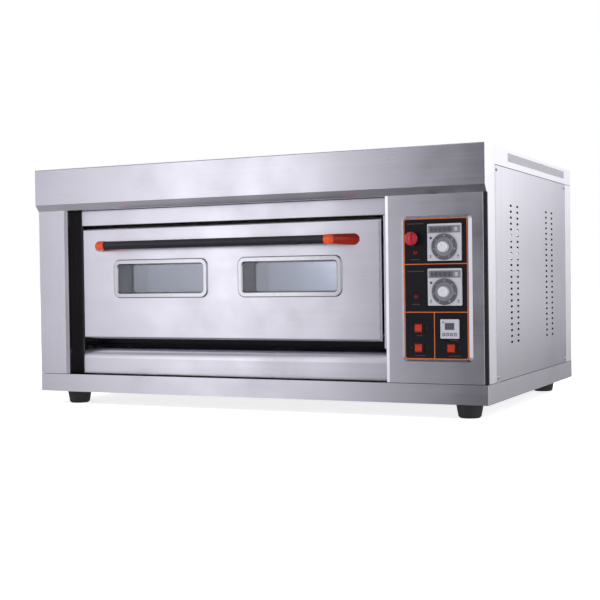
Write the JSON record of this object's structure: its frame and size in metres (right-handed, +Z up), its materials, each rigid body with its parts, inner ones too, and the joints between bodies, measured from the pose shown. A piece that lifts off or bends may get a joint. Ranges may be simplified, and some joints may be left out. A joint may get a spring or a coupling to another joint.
{
  "type": "deck oven",
  "caption": "Electric one-deck baking oven: insulated steel cabinet, pull-down glazed door with bar handle, hooded front and a control column with dials, timer, switches and a stop button.",
  "frame": {"origin": "centre of the bounding box's bottom face, on the floor under the feet", "axes": "+X to the right along the oven's front, +Y from front to back, +Z up"},
  "size_m": [1.3046, 0.9282, 0.654],
  "materials": {
    "stainless": "brushed along the sheet",
    "stainless_dark": "heat-toned chamber steel",
    "hardware": "plated",
    "frame_paint": "grey powder coat",
    "black_paint": "glossy black",
    "black_rubber": "matt",
    "black_plastic": "satin",
    "overlay_black": "satin printed panel with orange lines",
    "grey_plastic": "light grey instrument plastic",
    "dial_grey": "graduated ring with a bright knob",
    "window_grey": "smoked instrument window",
    "red_plastic": "glossy red",
    "stop_red": "glossy crimson",
    "lamp_red": "dark red lens",
    "orange_red": "glossy orange red",
    "frame_chrome": "bright polished",
    "glass": "tinted door glass",
    "clear_glass": "clear",
    "mineral_wool": "mineral wool",
    "gasket": "woven glass fibre",
    "bronze": "sintered bronze",
    "element": "heat-darkened sheath"
  },
  "bodies": {
    "cabinet": {"base_tray": "stainless", "bay_partition": "frame_paint", "cable_gland": "black_plastic", "canopy_hood": "stainless", "chamber_liner": "stainless_dark", "control_column": "stainless", "control_overlay": "overlay_black", "controllers": "grey_plastic", "corner_strip": "black_plastic", "door_springs": "hardware", "flue_pipe": "stainless", "foot_bolts": "hardware", "hearth_plates": "stainless_dark", "hearth_supports": "stainless_dark", "heating_elements": "element", "hinge_bushes": "bronze", "hinge_plates": "hardware", "indicator_lamps": "lamp_red", "inner_frame": "frame_paint", "instrument_windows": "window_grey", "insulation": "mineral_wool", "jamb_channel": "black_paint", "lamp_holder": "hardware", "lamp_lens": "clear_glass", "left_column": "stainless", "mouth_gasket": "gasket", "panel_screws": "hardware", "rear_panel": "stainless", "rear_posts": "stainless", "right_front_post": "stainless", "right_stile": "stainless", "rubber_feet": "black_rubber", "side_panels": "stainless", "sill_apron": "stainless", "stop_collar": "black_plastic", "switch_bezels": "black_plastic", "switchgear": "black_plastic", "thermocouples": "hardware", "timer_case": "grey_plastic", "top_cover": "stainless", "upper_rail": "stainless"},
    "door": {"door_outer_skin": "stainless", "door_inner_pan": "stainless", "door_insulation": "mineral_wool", "window_frames": "frame_chrome", "window_panes": "glass", "handle_rod": "black_plastic", "handle_brackets": "orange_red", "hinge_pins": "hardware"},
    "dial_upper": {"dial_upper": "dial_grey"},
    "dial_lower": {"dial_lower": "dial_grey"},
    "rocker_power": {"rocker_power": "red_plastic"},
    "rocker_lamp": {"rocker_lamp": "red_plastic"},
    "rocker_timer": {"rocker_timer": "red_plastic"},
    "stop_stem": {"stop_stem": "black_plastic"},
    "stop_head": {"stop_head": "stop_red"},
    "timer_key_1": {"timer_key_1": "grey_plastic"},
    "timer_key_2": {"timer_key_2": "grey_plastic"},
    "timer_key_3": {"timer_key_3": "grey_plastic"},
    "timer_key_4": {"timer_key_4": "grey_plastic"}
  },
  "joints": [
    {"name": "door_hinge", "type": "hinge", "parent": "cabinet", "child": "door", "pos_m": [-0.0795, -0.3749, 0.196], "axis": [1, 0, 0], "range_deg": [0, 90], "deforming": ["door_springs"]},
    {"name": "dial_upper_turn", "type": "hinge", "parent": "cabinet", "child": "dial_upper", "pos_m": [0.5486, -0.4431, 0.412], "axis": [0, 1, 0], "range_deg": [0, 300]},
    {"name": "dial_lower_turn", "type": "hinge", "parent": "cabinet", "child": "dial_lower", "pos_m": [0.5486, -0.4431, 0.3055], "axis": [0, 1, 0], "range_deg": [0, 300]},
    {"name": "rocker_power_tilt", "type": "hinge", "parent": "cabinet", "child": "rocker_power", "pos_m": [0.4815, -0.4381, 0.2185], "axis": [1, 0, 0], "range_deg": [0, 16]},
    {"name": "rocker_lamp_tilt", "type": "hinge", "parent": "cabinet", "child": "rocker_lamp", "pos_m": [0.4815, -0.4381, 0.171], "axis": [1, 0, 0], "range_deg": [0, 16]},
    {"name": "rocker_timer_tilt", "type": "hinge", "parent": "cabinet", "child": "rocker_timer", "pos_m": [0.563, -0.4381, 0.171], "axis": [1, 0, 0], "range_deg": [0, 16]},
    {"name": "stop_press", "type": "slide", "parent": "cabinet", "child": "stop_stem", "axis": [0, 1, 0], "range_m": [0, 0.004], "stiffness_N_per_m": 900},
    {"name": "stop_twist", "type": "hinge", "parent": "stop_stem", "child": "stop_head", "pos_m": [0.4705, -0.4559, 0.433], "axis": [0, 1, 0], "range_deg": [0, 40], "stiffness_Nm_per_rad": 0.05},
    {"name": "timer_key_1_press", "type": "slide", "parent": "cabinet", "child": "timer_key_1", "axis": [0, 1, 0], "range_m": [0, 0.0008], "stiffness_N_per_m": 400},
    {"name": "timer_key_2_press", "type": "slide", "parent": "cabinet", "child": "timer_key_2", "axis": [0, 1, 0], "range_m": [0, 0.0008], "stiffness_N_per_m": 400},
    {"name": "timer_key_3_press", "type": "slide", "parent": "cabinet", "child": "timer_key_3", "axis": [0, 1, 0], "range_m": [0, 0.0008], "stiffness_N_per_m": 400},
    {"name": "timer_key_4_press", "type": "slide", "parent": "cabinet", "child": "timer_key_4", "axis": [0, 1, 0], "range_m": [0, 0.0008], "stiffness_N_per_m": 400}
  ]
}
